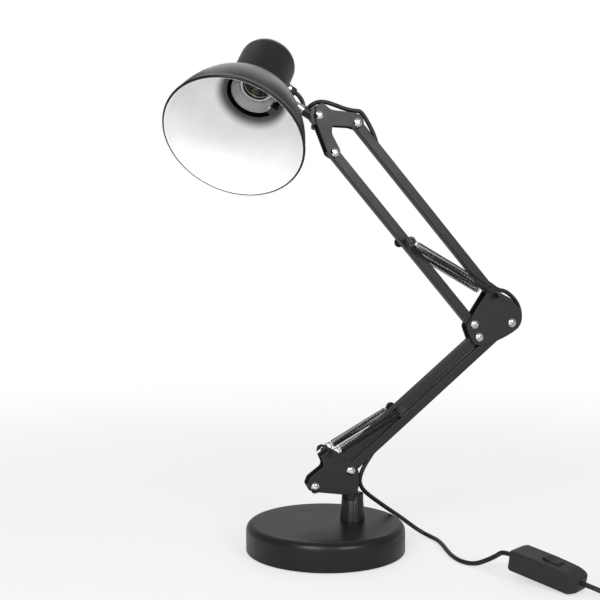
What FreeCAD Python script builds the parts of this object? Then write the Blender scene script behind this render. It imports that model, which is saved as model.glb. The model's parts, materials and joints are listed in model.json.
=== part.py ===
import FreeCAD, Part
import math
import os

import Sketcher
from FreeCAD import Placement, Rotation, Vector

# A balanced-arm desk lamp, in millimetres, +Z up. The origin is the middle of the round base
# on the table, and the arms fold in the plane y = 0, with the head on the -X side.
doc = FreeCAD.newDocument("accordion_desk_lamp")
sheet = doc.addObject("Spreadsheet::Sheet", "Sizes")
SIZES = [
    ("base_radius", 80.0), ("base_height", 29.0), ("base_flat_radius", 72.5),
    ("base_wall", 2.8), ("pad_radius", 76.5), ("pad_height", 1.6), ("weight_height", 10.4),
    ("post_x", 28.5), ("post_foot_radius", 12.6), ("post_top_radius", 11.0),
    ("post_lip_z", 50.3), ("stop_top_z", 55.8), ("stop_inner_radius", 9.2),
    ("stop_span_deg", 173.0), ("stop_middle_deg", -9.2), ("spindle_radius", 5.0),
    ("running_gap", 0.05), ("bar_side", 10.0), ("bar_wall", 1.0), ("bar_corner", 1.1),
    ("bar_overhang", 5.0), ("plate_thick", 2.0), ("plate_inside", 5.4),
    ("arm_reach", 230.0), ("lower_angle", 39.53), ("upper_angle", 131.24),
    ("lower_link", 39.8), ("lower_link_angle", 21.1),
    ("upper_link", 38.4), ("upper_link_angle", 52.3),
    ("screw_radius", 2.5), ("screw_head_radius", 4.6), ("screw_head_height", 2.5),
    ("spring_side", 14.3), ("spring_radius", 3.7), ("spring_wire", 1.7),
    ("cord_diameter", 4.4), ("barrel_radius", 8.5), ("stem_radius", 4.0),
    ("stem_angle", 30.36), ("stem_drop", 3.0), ("stem_reach", 66.4), ("head_roll_deg", 35.97),
    ("shade_height", 91.4), ("shade_radius", 67.2), ("shade_wall", 1.2),
    ("cap_radius", 28.0), ("cap_top", 42.0), ("cap_foot", 20.5), ("cap_round", 14.0),
    ("thread_radius", 13.3), ("socket_radius", 19.0), ("socket_mouth", 9.0),
    ("gland_height", 16.0), ("switch_width", 27.0), ("pin_radius", 2.0),
    ("pin_spacing", 19.0),
]
P = dict(SIZES)
for row, (name, value) in enumerate(SIZES, 1):
    sheet.set(f"A{row}", name)
    sheet.set(f"B{row}", str(value))
    sheet.setAlias(f"B{row}", name)
doc.recompute()

NODES = []


def keep(obj, name):
    """Labels an object as one sub-part of the lamp."""
    obj.Label = name
    NODES.append(obj)
    return obj


def tie(obj, **sizes):
    """Binds properties to the spreadsheet, as in Radius='stem_radius / 2'."""
    for prop, rule in sizes.items():
        text = str(rule)
        for name in sorted(P, key=len, reverse=True):
            text = text.replace(name, f"<<{name}>>")
        text = text.replace("<<", "Sizes.").replace(">>", "")
        obj.setExpression(prop, text)
    return obj


def turn_y(degrees):
    """A turn in the arms' plane that lifts +X towards +Z by the angle."""
    return Rotation(Vector(0, 1, 0), -degrees)


def polar(start, reach, degrees):
    a = math.radians(degrees)
    return Vector(start.x + reach * math.cos(a), start.y, start.z + reach * math.sin(a))


def cylinder(radius, height, at, rotation=None, **more):
    obj = doc.addObject("Part::Cylinder", "Cylinder")
    tie(obj, Radius=radius, Height=height, **more)
    obj.Placement = Placement(at, rotation or Rotation())
    return obj


def box(length, width, height, at, rotation=None):
    """A box that starts at a corner."""
    obj = doc.addObject("Part::Box", "Box")
    tie(obj, Length=length, Width=width, Height=height)
    obj.Placement = Placement(at, rotation or Rotation())
    return obj


def fused(*objs):
    obj = doc.addObject("Part::MultiFuse", "Fusion")
    obj.Shapes = list(objs)
    return obj


def cut(base, *tools):
    obj = doc.addObject("Part::Cut", "Cut")
    obj.Base, obj.Tool = base, tools[0] if len(tools) == 1 else fused(*tools)
    return obj


def common(a, b):
    obj = doc.addObject("Part::Common", "Common")
    obj.Base, obj.Tool = a, b
    return obj


ACROSS = Rotation(Vector(1, 0, 0), 90)  # +Z turned to -Y, towards the near side


def pin_hole(at, radius="screw_radius", reach=60):
    """A cylinder across the arms' plane, for cutting a pivot hole."""
    return cylinder(radius, reach, Vector(at.x, reach / 2, at.z), ACROSS)


def sketch_on(body, role, curves):
    sketch = body.newObject("Sketcher::SketchObject", "Sketch")
    plane = [f for f in body.Origin.OriginFeatures if f.Role == role][0]
    sketch.AttachmentSupport = (plane, "")
    sketch.MapMode = "FlatFace"
    sketch.addGeometry(curves, False)
    return sketch


def profile(points):
    """Lines and arcs through (x, y) points; ('arc', middle, end) bends one side."""
    curves, here = [], Vector(*points[0], 0)
    for p in points[1:] + [points[0]]:
        if p[0] == "arc":
            end = Vector(*p[2], 0)
            curves.append(Part.Arc(here, Vector(*p[1], 0), end))
        else:
            end = Vector(*p, 0)
            if (end - here).Length > 1e-6:
                curves.append(Part.LineSegment(here, end))
        here = end
    return curves


def rounded(corners):
    """A closed outline from (x, y, corner radius)."""
    n, legs = len(corners), []
    for i, (x, y, r) in enumerate(corners):
        here = Vector(x, y, 0)
        before = (Vector(*corners[i - 1][:2], 0) - here).normalize()
        after = (Vector(*corners[(i + 1) % n][:2], 0) - here).normalize()
        half = before.getAngle(after) / 2
        back = r / math.tan(half)
        middle = (before + after).normalize()
        legs.append((here + before * back,
                     here + middle * (r / math.sin(half) - r), here + after * back))
    curves = []
    for i, (start, top, end) in enumerate(legs):
        curves.append(Part.Arc(start, top, end))
        follow = legs[(i + 1) % n][0]
        if (follow - end).Length > 1e-6:
            curves.append(Part.LineSegment(end, follow))
    return curves


def turned(points, at=Vector(), rotation=None):
    """A solid of revolution about its own Z, from (radius, height) points."""
    body = doc.addObject("PartDesign::Body", "Turned")
    sketch = sketch_on(body, "XZ_Plane", profile(points))
    turn = body.newObject("PartDesign::Revolution", "Revolution")
    turn.Profile = sketch
    turn.ReferenceAxis = (sketch, ["V_Axis"])
    turn.Angle = 360
    body.Placement = Placement(at, rotation or Rotation())
    return body


def plate(corners, side):
    """A sheet plate in the arms' plane, on the near (-1) or the far (1) side of the bars."""
    body = doc.addObject("PartDesign::Body", "Plate")
    sketch = sketch_on(body, "XZ_Plane", rounded(corners))
    pad = body.newObject("PartDesign::Pad", "Pad")
    pad.Profile = sketch
    tie(pad, Length="plate_thick")
    pad.Reversed = side > 0
    body.Placement = Placement(Vector(0, side * P["plate_inside"], 0), Rotation())
    return body


def bar(start, degrees, holes, slots):
    """A square tube from one pivot, with cross holes and cord slots on one face."""
    body = doc.addObject("PartDesign::Body", "Bar")
    h, r, w = P["bar_side"] / 2, P["bar_corner"], P["bar_wall"]
    i = h - w
    outer = rounded([(-h, -h, r), (h, -h, r), (h, h, r), (-h, h, r)])
    inner = rounded([(-i, -i, 0.4), (i, -i, 0.4), (i, i, 0.4), (-i, i, 0.4)])
    sketch = sketch_on(body, "YZ_Plane", outer + inner)
    pad = body.newObject("PartDesign::Pad", "Pad")
    pad.Profile = sketch
    tie(pad, Length="arm_reach + 2 * bar_overhang")
    turn = turn_y(degrees)
    body.Placement = Placement(start - turn.multVec(Vector(P["bar_overhang"], 0, 0)), turn)
    tools = [pin_hole(polar(start, x, degrees), "screw_radius + running_gap") for x in holes]
    for x, length, up in slots:
        z = h - 1.5 if up > 0 else -h - 1
        corner = start + turn.multVec(Vector(x, -2.6, z))
        tools.append(box(length, 5.2, 2.5, corner, turn))
    return cut(body, *tools)


def screw(at, reach):
    """A pan-head cross-recess screw through both plates, its head on the near side."""
    s, r, k = P["screw_radius"], P["screw_head_radius"], P["screw_head_height"]
    front = P["plate_inside"] + P["plate_thick"]
    body = turned([(0, -reach), (s - 0.4, -reach), (s, 0.4 - reach), (s, 0), (r, 0), (r, 0.8),
                   ("arc", (r * 0.68, k * 0.82), (0, k))], Vector(at.x, -front, at.z), ACROSS)
    floor = 1.3 - front - k  # bottom of the recess
    return cut(body, box(4.6, 0.9, 2, Vector(at.x - 2.3, floor, at.z - 0.45), ACROSS),
               box(0.9, 4.6, 2, Vector(at.x - 0.45, floor, at.z - 2.3), ACROSS))


def biarcs(samples):
    """Arcs that pass through (point, direction) samples without a kink."""
    edges = []
    for (p, t), (q, u) in zip(samples, samples[1:]):
        v, s = q - p, t + u
        a, b, c = 2 * (1 - t.dot(u)), 2 * v.dot(s), -v.dot(v)
        d = -c / b if abs(a) < 1e-9 else (-b + math.sqrt(b * b - 4 * a * c)) / (2 * a)
        knee_p, knee_q = p + t * d, q - u * d
        mid = (knee_p + knee_q) * 0.5
        for start, knee, end in ((p, knee_p, mid), (mid, knee_q, q)):
            chord = (start + end) * 0.5
            rise = knee - chord
            half = (end - start).Length / 2
            leg = (knee - start).Length
            if rise.Length < 1e-6:
                edges.append(Part.LineSegment(start, end).toShape())
                continue
            radius = half * leg / rise.Length
            centre = knee - rise * (leg / rise.Length) * math.hypot(1, radius / leg)
            top = centre + (knee - centre).normalize() * radius
            edges.append(Part.Arc(start, top, end).toShape())
    return edges


def tube(edges, diameter):
    """One unbroken round tube along a wire."""
    path = Part.Wire(edges)
    first = path.Edges[0]
    start = first.valueAt(first.FirstParameter)
    away = first.tangentAt(first.FirstParameter)
    ring = Part.Wire([Part.makeCircle(diameter / 2, start, away)])
    return path.makePipeShell([ring], True, False)


def put(shape, name):
    obj = doc.addObject("Part::Feature", "Shape")
    obj.Shape = shape
    return keep(obj, name)


def helix(start, axis, side, radius, turns, length, first, steps):
    """Samples of a winding, 'steps' to a turn, that begins at the angle 'first'."""
    up = axis.cross(side)
    pitch, out = length / turns, []
    for i in range(int(turns * steps) + 1):
        a = first + 2 * math.pi * i / steps
        spot = side * math.cos(a) + up * math.sin(a)
        way = up * math.cos(a) - side * math.sin(a)
        out.append((start + axis * (pitch * i / steps) + spot * radius,
                    (way * (2 * math.pi * radius) + axis * pitch).normalize()))
    return out


def spring(name, a, b, y, lead_a, lead_b, eye_a, eye_b):
    """A close spring of 25 curls between two cross pins, with an open eye round each pin."""
    axis = (b - a).normalize()
    lift = Vector(-axis.z, 0, axis.x)  # square to the spring, in the arms' plane
    a, b = a + Vector(0, y, 0), b + Vector(0, y, 0)
    length = (b - a).Length - lead_a - lead_b
    coil = helix(a + axis * lead_a, axis, lift, P["spring_radius"], 25, length, 0.0, 2)
    quarters = [(1, 0), (0, -1), (-1, 0), (0, 1)]  # along the spring, and square to it
    front = [(a + axis * eye_a * s + lift * eye_a * c, axis * c - lift * s) for s, c in quarters]
    back = [(b + axis * eye_b * s + lift * eye_b * c, axis * c - lift * s)
            for s, c in quarters[-1:] + quarters[:-1]]
    put(tube(biarcs(front + coil + back), P["spring_wire"]), name)


def run(name, points, diameter):
    """A cord tube: straight runs through the route's points, each corner a tangent arc."""
    spots = [Vector(*p) for p in points]
    corners = []
    for a, b, c in zip(spots, spots[1:], spots[2:]):
        turn = (b - a).getAngle(c - b)
        back = 0.45 * min((b - a).Length, (c - b).Length)
        radius = back / math.tan(turn / 2)
        inward = ((a - b).normalize() + (c - b).normalize()).normalize()
        top = b + inward * (radius / math.cos(turn / 2) - radius)
        corners.append((b + (a - b).normalize() * back, top, b + (c - b).normalize() * back))
    edges, here = [], spots[0]
    for start, top, end in corners:
        edges += [Part.LineSegment(here, start).toShape(), Part.Arc(start, top, end).toShape()]
        here = end
    edges.append(Part.LineSegment(here, spots[-1]).toShape())
    put(tube(edges, diameter), name)


def coil_samples(centre, inner, pitch, turns, lift, thick):
    """A winding that spirals in on the table and out again on top of itself, by quarter turns."""
    out = []
    for i in range(int(2 * turns * 4) + 2):
        turn = i / 4
        a = 2 * math.pi * turn - math.pi / 2
        radius = inner + pitch * abs(turn - turns)
        slope = pitch / (2 * math.pi) * ((turn > turns) - (turn < turns))
        step = min(max(turn - turns + 0.25, 0.0), 0.5) * 2 * math.pi
        rise = lift * (1 - math.cos(step)) / 2
        climb = lift * math.sin(step) / 2
        ray = Vector(math.cos(a), math.sin(a), 0)
        way = Vector(-math.sin(a), math.cos(a), 0) * radius + ray * slope + Vector(0, 0, climb)
        out.append((centre + ray * radius + Vector(0, 0, thick / 2 + rise), way.normalize()))
    return out


# ---- base: a weighted round foot with an off-centre post ----
R, H, F, W = P["base_radius"], P["base_height"], P["base_flat_radius"], P["base_wall"]
post_at = Vector(P["post_x"], 0, H)
mid = math.sqrt(0.5)
rim = R - F
under = P["pad_height"] + P["weight_height"]
shell = turned([
    (0, H - W), (F - 2, H - W),
    ("arc", (F - 2 + (rim - 0.8) * mid, H - rim - 1 + (rim - 1.8) * mid + 0.6), (R - W, H - rim - 2)),
    (R - W, 1.0), (R - 1, 1.0), ("arc", (R - 1 + mid, 2 - mid), (R, 2.0)),
    (R, H - rim), ("arc", (F + rim * mid, H - rim + rim * mid), (F, H)), (0, H),
])
keep(cut(shell, cylinder(6, 20, post_at - Vector(0, 0, 10))), "base_shell")
keep(turned([(0, P["pad_height"]), (R - W, P["pad_height"]), (R - W, under), (0, under)]),
     "base_weight")
keep(turned([(0, 0), (P["pad_radius"], 0), (P["pad_radius"], P["pad_height"]),
             (0, P["pad_height"])]), "base_pad")
lip = P["post_lip_z"] - H
spin = P["spindle_radius"] + P["running_gap"]
post = turned([
    (0, -W), (6, -W), (6, 0), (P["post_foot_radius"], 0),
    (P["post_top_radius"] + 0.02, lip - 1), (P["post_top_radius"] - 0.6, lip), (spin, lip),
    (spin, 4), (0, 4),
], post_at)
stop_start = Rotation(Vector(0, 0, 1), P["stop_middle_deg"] - P["stop_span_deg"] / 2)
ring = cylinder("post_top_radius", "stop_top_z - post_lip_z + 1",
                Vector(P["post_x"], 0, P["post_lip_z"] - 1), stop_start, Angle="stop_span_deg")
bore = cylinder("stop_inner_radius", 20, Vector(P["post_x"], 0, P["post_lip_z"] - 2))
keep(fused(post, cut(ring, bore)), "base_post")

# ---- pivots of the two linkages ----
Q1 = Vector(-12.9, 0, 66.0)
Q2 = polar(Q1, P["lower_link"], P["lower_link_angle"])
B = polar(Q1, P["arm_reach"], P["lower_angle"])
C = polar(Q2, P["arm_reach"], P["lower_angle"])
A = B + Vector(-5.4, 0, 13.3)
D = polar(A, P["upper_link"], P["upper_link_angle"])
P1 = polar(A, P["arm_reach"], P["upper_angle"])
P2 = polar(D, P["arm_reach"], P["upper_angle"])
T = P1 + Vector(-16.2, 0, 36.2)
E = Vector(5.0, 0, 100.5)
M1 = polar(Q1, 115.0, P["lower_angle"])
M2 = polar(A, 113.0, P["upper_angle"])

# ---- turret: a swivel block between two plates with ears for the lower springs ----
block = [
    cylinder(8.8, 6.15, Vector(P["post_x"], 0, P["post_lip_z"] + 0.15)),
    cylinder("spindle_radius", 18, Vector(P["post_x"], 0, P["post_lip_z"] - 17.0)),
    box(14.5, "2 * plate_inside", 15.5, Vector(18, -P["plate_inside"], P["post_lip_z"] + 6)),
]
tab = cylinder("post_top_radius", 5.6, Vector(P["post_x"], 0, P["post_lip_z"] + 0.2),
               Rotation(Vector(0, 0, 1), 171.7), Angle=16.6)
keep(fused(*block, cut(tab, cylinder(8.5, 20, Vector(P["post_x"], 0, P["post_lip_z"] - 2)))),
     "turret_block")
TURRET = [
    (-20.6, 68.3, 2.5), (-14.8, 58.8, 3), (-9.5, 60.2, 6), (15.5, 56.6, 8), (31.4, 56.5, 1.5),
    (33.2, 66, 12), (33.1, 78, 8), (29.8, 86.5, 5), (22.5, 90.0, 8), (12.8, 98.4, 2),
    (-1.8, 106.2, 2.6), (-6.4, 104.6, 1.6), (-7.9, 99.0, 3), (-2.4, 86.4, 5), (-17.8, 75.0, 4),
]
for side, name in ((-1, "near"), (1, "far")):
    out = P["plate_inside"] + P["plate_thick"]
    studs = [cylinder(1.5, 11.5, Vector(E.x, side * (out - 1) if side < 0 else out + 10.5, E.z), ACROSS),
             cylinder(2.6, 1.2, Vector(E.x, side * (out + 10.2) if side < 0 else out + 11.4, E.z), ACROSS)]
    notch = [pin_hole(Vector(-1.6, 0, 101.6), 1.9),
             box(8, 40, 2.6, Vector(-1.6, -20, 101.6) + turn_y(35).multVec(Vector(-8, 0, -1.3)),
                 turn_y(35))]
    sheet_plate = cut(plate(TURRET, side), pin_hole(Q1), pin_hole(Q2), *notch)
    keep(fused(sheet_plate, *studs), f"turret_plate_{name}")
through = 2 * (P["plate_inside"] + P["plate_thick"]) + 1.2
keep(screw(Q1, through), "turret_screw_inner")
keep(screw(Q2, through), "turret_screw_outer")

# ---- lower arm ----
keep(bar(Q1, P["lower_angle"], [0, 115.0, P["arm_reach"]], []), "lower_bar_inner")
keep(bar(Q2, P["lower_angle"], [0, P["arm_reach"]], [(18, 22, -1), (196, 26, -1)]),
     "lower_bar_outer")


def anchor(at, name):
    """A bolt across an inner bar that carries both springs, with its nut on the near side."""
    bolt = turned([(0, -35.5), (1.9, -35.5), (2.5, -35), (2.5, 0), (5.2, 0), (5.2, 1.2),
                   ("arc", (4.1, 2.6), (2.0, 3.2)), (0, 3.2)],
                  Vector(at.x, P["spring_side"] + 2.0, at.z), Rotation(Vector(1, 0, 0), -90))
    keep(bolt, f"{name}_anchor_bolt")
    nut = doc.addObject("Part::Prism", "Prism")
    nut.Polygon = 6
    tie(nut, Circumradius=4.7, Height=4.0)
    nut.Placement = Placement(Vector(at.x, -P["spring_side"] + -1.2, at.z), ACROSS)
    washer = cylinder(5.2, 0.8, Vector(at.x, -P["spring_side"] - 1.2, at.z), ACROSS)
    keep(cut(fused(nut, washer), pin_hole(at)), f"{name}_anchor_nut")


anchor(M1, "lower")
for side, name in ((-1, "near"), (1, "far")):
    spring(f"lower_spring_{name}", E, M1, side * P["spring_side"], 8.0, 6.5, 2.6, 3.45)

# ---- elbow ----
ELBOW = [
    (150.2, 224.4, 5.5), (175.0, 261.6, 4.5), (181.8, 261.4, 4), (200.3, 252.2, 9),
    (211.3, 240.2, 6), (210.9, 222.0, 8), (201.8, 216.2, 8), (186.6, 211.0, 10),
    (168.0, 203.2, 7), (157.6, 204.8, 6),
]
for side, name in ((-1, "near"), (1, "far")):
    keep(cut(plate(ELBOW, side), *[pin_hole(p) for p in (A, B, C, D)]), f"elbow_plate_{name}")
keep(screw(A, through), "elbow_screw_upper")
keep(screw(B, through), "elbow_screw_lower")
keep(screw(C, through), "elbow_screw_outer")
axle = P["spring_side"] + 3.6
keep(turned([(0, 0), (2.1, 0), (2.5, 0.4), (2.5, 2 * axle - 0.4), (2.1, 2 * axle), (0, 2 * axle)],
            Vector(D.x, axle, D.z), ACROSS), "elbow_axle")

# ---- upper arm ----
keep(bar(A, P["upper_angle"], [0, 113.0, P["arm_reach"]], []), "upper_bar_inner")
keep(bar(D, P["upper_angle"], [0, P["arm_reach"]], [(1, 22, -1), (191, 18, -1)]),
     "upper_bar_outer")
anchor(M2, "upper")
for side, name in ((-1, "near"), (1, "far")):
    spring(f"upper_spring_{name}", M2, D, side * P["spring_side"], 8.0, 10.0, 3.45, 3.45)

# ---- head bracket ----
HEAD = [
    (-12.8, 430.0, 5), (-11.8, 444.0, 4), (-5.5, 447.2, 4), (3.4, 440.4, 10), (26.8, 438.6, 3),
    (35.2, 436.4, 4.5), (38.2, 428.2, 5), (32.8, 422.6, 4.5), (24.5, 424.8, 6), (4.6, 425.2, 3),
    (4.2, 417.0, 8), (14.2, 398.6, 5), (7.6, 392.2, 5), (0.6, 397.0, 4),
]
for side, name in ((-1, "near"), (1, "far")):
    keep(cut(plate(HEAD, side), *[pin_hole(p) for p in (T, P1, P2)]), f"head_plate_{name}")
keep(screw(P1, through), "head_screw_lower")
keep(screw(P2, through), "head_screw_upper")
keep(screw(T, through + 11.0), "tilt_screw")

# ---- tilt knuckle, stem and wing nut ----
head_turn = Rotation(Vector(0, 1, 0), P["stem_angle"]) * Rotation(Vector(0, 0, 1), 180)
s_dir = head_turn.multVec(Vector(1, 0, 0))
down = Vector(s_dir.z * -1, 0, s_dir.x)  # square to the stem, in the arms' plane
head_turn = head_turn * Rotation(Vector(1, 0, 0), P["head_roll_deg"])
O = T + down * P["stem_drop"]
S = O + s_dir * P["stem_reach"]
along = Rotation(Vector(0, 0, 1), s_dir)
barrel = cylinder("barrel_radius", "2 * plate_inside - 0.4",
                  Vector(T.x, P["plate_inside"] - 0.2, T.z), ACROSS)
neck = cylinder(5.1, 15.5, O, along)
keep(cut(fused(barrel, neck), pin_hole(T, "screw_radius + running_gap"),
         cylinder("stem_radius", 30, O + s_dir * 9.5, along)), "tilt_knuckle")
inside = P["stem_reach"] - P["cap_radius"] + 6
keep(cylinder("stem_radius", inside - 9.5, O + s_dir * 9.5, along), "head_stem")
bore_radius = P["screw_radius"] + P["running_gap"]
hub = turned([(bore_radius, 0), (5.2, 0), (4.3, 7), (bore_radius, 7)],
             Vector(T.x, P["plate_inside"] + P["plate_thick"] + 0.3, T.z),
             Rotation(Vector(1, 0, 0), -90))
wings = []
for tip in (1, -1):
    body = doc.addObject("PartDesign::Body", "Wing")
    z0, z1 = 3.2 * tip, 12.2 * tip
    corner = [(T.x - 2.6, T.z + z0, 0.4), (T.x + 2.6, T.z + z0, 0.4),
              (T.x + 3.6, T.z + z1, 2.4), (T.x - 3.6, T.z + z1, 2.4)]
    wing_sketch = sketch_on(body, "XZ_Plane", rounded(corner))
    pad = body.newObject("PartDesign::Pad", "Pad")
    pad.Profile = wing_sketch
    tie(pad, Length=2.2)
    lean = Rotation(Vector(1, 0, 0), -18.0 * tip)
    pivot = Vector(T.x, P["plate_inside"] + P["plate_thick"] + 3.4, T.z + z0)
    base_spot = Vector(T.x, 0, T.z + z0)
    body.Placement = Placement(pivot - lean.multVec(base_spot), lean)
    wings.append(body)
keep(cut(fused(hub, *wings), pin_hole(T, "screw_radius + running_gap")), "wing_nut")

# ---- head: cap, shade, socket and cord gland, in the shade's own frame ----
head = Placement(S, head_turn)


def in_head(x, y, z):
    return head.multVec(Vector(x, y, z))


def head_turned(points):
    return turned(points, S, head_turn)


c, top, foot, f, w = P["cap_radius"], P["cap_top"], -P["cap_foot"], P["cap_round"], P["shade_wall"]
g = f - w
cap = head_turned([
    (c - w, foot), (c, foot), (c, top - f), ("arc", (c - f + f * mid, top - f + f * mid), (c - f, top)),
    (0, top), (0, top - w), (c - f, top - w),
    ("arc", (c - f + g * mid, top - f + g * mid), (c - w, top - f)),
])
outward = head_turn * Rotation(Vector(0, 1, 0), -90)  # +Z turned to the arm side of the cap
keep(cut(cap, cylinder("stem_radius + running_gap", 12, in_head(8 - c, 0, 0), outward),
         cylinder(3.0, 12, in_head(8 - c, 0, P["gland_height"]), outward)), "shade_cap")
r, end = P["shade_radius"], -P["shade_height"]
keep(head_turned([
    (c - w, foot), (c + 0.6, foot), (31.2, foot - 1.6),
    ("arc", (54.0, -50.0), (r - 0.4, -86.0)), (r, end + 3.4), ("arc", (r + 1.2, end + 1.7), (r, end)),
    (r - 1.5, end), (r - 1.4, end + 3.4), (r - 0.4 - w, -86.0),
    ("arc", (54.0 - w * 0.8, -50.0 - w * 0.6), (31.2 - 0.5, foot - 1.6 - w)),
    (c - w, foot - w)]), "shade_shell")
t, m, q = P["thread_radius"], -P["socket_mouth"], P["socket_radius"]
keep(head_turned([
    (t + 0.6, m), (q - 1, m), (q, m + 1), (q, 26), (q - 4, 30), (5, 30), (5, top - w), (0, top - w),
    (0, 17), (t + 0.6, 17)]), "socket_body")
keep(head_turned([(t, m), (t + 0.6, m), (t + 0.6, 14), (t, 14)]), "socket_thread")
keep(head_turned([(0, 17), (4.5, 17), (4.5, 15.8), ("arc", (3.6, 15.0), (1.5, 14.6)), (0, 14.6)]),
     "socket_contact")
keep(head_turned([(t + 1.0, m), (t + 1.0, m - 0.8), (t + 2.8, m - 0.8), (22.2, -19.4), (23.2, -19.4),
                  (t + 3.8, m)]), "socket_skirt")
keep(cut(common(box(9, 9, 8.8, in_head(-29, -4.5, -28.5), head_turn),
                cylinder(c - w, 40, in_head(0, 0, -40), head_turn)),
         cylinder(1.6, 3.2, in_head(-20, 0, -24.5), outward)), "terminal_block")
inward = outward * Rotation(Vector(1, 0, 0), 180)
keep(cut(fused(cylinder(2.6, 1.6, in_head(-20, 0, -24.5), inward),
               cylinder(1.6, 4.6, in_head(-18.5, 0, -24.5), outward)),
         box(1, 8, 1, in_head(-18.9, -4, -25.0), head_turn)), "terminal_screw")
gland_z = P["gland_height"]
keep(cut(cylinder(4.8, 3.4, in_head(-c, 0, gland_z), outward),
         cylinder(3.0, 9, in_head(2 - c, 0, gland_z), outward)), "gland_nut")
keep(turned([(2.25, 26), (3.0, 26), (3.0, c + 3.4), (4.3, c + 3.4), (4.3, c + 7.4), (3.4, c + 9.4),
             (2.25, c + 9.4)], in_head(0, 0, gland_z), outward), "cord_gland")

# ---- cord: routes by hand, in the lamp's frame ----
d = P["cord_diameter"]
gland_mouth = in_head(-c - 9.4, 0, gland_z)
run("cord_gland_loop", [
    tuple(gland_mouth), (-25.9, 9.5, 456.5), (-21.2, 9.8, 450.2), (-20.9, 9.6, 447.2)], d)
run("cord_tilt_loop", [
    (-20.9, 9.6, 447.2), (-20.6, 9.4, 444.2), (-17.4, 7.4, 441.6), (-15.6, 3.6, 444.6),
    (-10.6, 0.6, 448.2), (-1.6, 0, 449.4), (4.2, 0, 447.8)], d)


def beside(start, way, along, off):
    """A point of the arms' plane, along an arm and off its middle, away from the springs."""
    square = Vector(-way.z, 0, way.x)
    return tuple(start + way * along + square * off)


upper_way = (D - P2).normalize()
lower_way = (Q2 - C).normalize()
run("cord_upper_run", [(4.2, 0, 447.8), (10.0, 0, 446.2), (21.0, 0, 442.6), (30.2, 0, 441.4)]
    + [beside(P2, upper_way, *p) for p in (
        (-6, 12.0), (2, 11.8), (12, 10.0), (21.5, 7.6), (30, 3.8), (40, 0.9), (56, 0.2),
        (80, 0))], d)
run("cord_elbow_top", [beside(D, upper_way, *p) for p in (
    (-62, 0), (-36, 0.3), (-21, 1.8), (-10, 5.2), (0.5, 8.0))]
    + [(197.4, 0, 259.9), (206.0, 0, 253.6), (209.2, 0, 249.6)], d)
run("cord_elbow_low", [(209.2, 0, 249.6), (212.4, 0, 245.6), (215.0, 0, 236.0),
                       (214.4, 0, 226.6), (209.4, 0, 220.4)]
    + [beside(C, lower_way, *p) for p in ((9, 8.0), (20, 5.0), (32, 0.8), (50, 0.2), (72, 0))], d)
run("cord_hip", [beside(Q2, lower_way, *p) for p in ((-66, 0), (-43, 0.3))]
    + [(49.6, 0, 95.2), (41.6, 0, 83.6), (40.05, 0.1, 80.35)], d)

# ---- in-line switch, lying on the table and lifted at one end by its stiff cord ----
switch_from, switch_to = Vector(142.0, -130.4, 20.2), Vector(178.0, -187.0, 9.4)
go = (switch_to - switch_from).normalize()
lay = (Rotation(Vector(0, 0, 1), math.degrees(math.atan2(go.y, go.x)))
       * Rotation(Vector(0, 1, 0), math.degrees(math.asin(-go.z))))
L, across = (switch_to - switch_from).Length, P["switch_width"] / 2


def slab(corners, role, half, placement):
    """A pad of a rounded outline, to both sides of its plane."""
    body = doc.addObject("PartDesign::Body", "Slab")
    outline_sketch = sketch_on(body, role, rounded(corners))
    slab_pad = body.newObject("PartDesign::Pad", "Pad")
    slab_pad.Profile = outline_sketch
    slab_pad.Midplane = True
    tie(slab_pad, Length=half * 2)
    body.Placement = placement
    return body


lying = Placement(switch_from, lay)
plan = [(0, -across, 5), (L, -across, 8), (L, across, 8), (0, across, 5)]
lid = [(0, 0, 0.01), (L, 0, 0.01), (L, 5.0, 2), (L - 12, 8.4, 12), (L / 2, 9.6, 8), (5, 9.6, 6),
       (0, 7.6, 2)]
tray = [(0, 0, 0.01), (0, -7.4, 1.5), (4, -9.2, 2), (L - 7, -9.2, 2), (L, -6.4, 2),
        (L, 0, 0.01)]
pivot_x, pivot_z, rock = 37.5, 6.0, 8.4
gap = box(17.6, 11.2, 12, lying.multVec(Vector(pivot_x - 8.8, -5.6, 2.0)), lay)
keep(cut(common(slab(plan, "XY_Plane", 12, lying), slab(lid, "XZ_Plane", 20, lying)), gap),
     "switch_top")
keep(common(slab(plan, "XY_Plane", 12, lying), slab(tray, "XZ_Plane", 20, lying)),
     "switch_bottom")


def rocked(angle):
    a = math.radians(angle)
    return (pivot_x + rock * math.cos(a), pivot_z + rock * math.sin(a))


rocker = doc.addObject("PartDesign::Body", "Rocker")
rocker_sketch = sketch_on(rocker, "XZ_Plane", profile([
    rocked(190), ("arc", rocked(160), rocked(130)), (pivot_x + 0.6, pivot_z + 4.2),
    rocked(31), ("arc", rocked(10), rocked(-10))]))
rocker_pad = rocker.newObject("PartDesign::Pad", "Pad")
rocker_pad.Profile = rocker_sketch
rocker_pad.Midplane = True
tie(rocker_pad, Length=10.6)
rocker.Placement = lying
keep(rocker, "switch_rocker")

run("cord_drop", [
    (40.05, 0.1, 80.35), (35.4, 0.4, 70.6), (38.8, 2.4, 59.8), (48.6, 4.8, 50.8),
    (60.2, 8.2, 42.2), (74.0, 12.6, 32.2), (88.0, 17.0, 22.4), (101.0, 20.6, 12.4),
    (110.5, 19.6, 5.6), (117.4, 11.0, 2.2), (119.8, -3.5, 2.2), (118.4, -20.0, 2.2),
    (114.4, -40.0, 2.2), (111.2, -61.0, 2.2), (112.6, -80.0, 2.2), (120.5, -92.5, 3.0),
    (129.5, -100.5, 8.6), (134.0, -110.5, 15.4), tuple(switch_from - go * 12),
    tuple(switch_from)], d)

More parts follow.
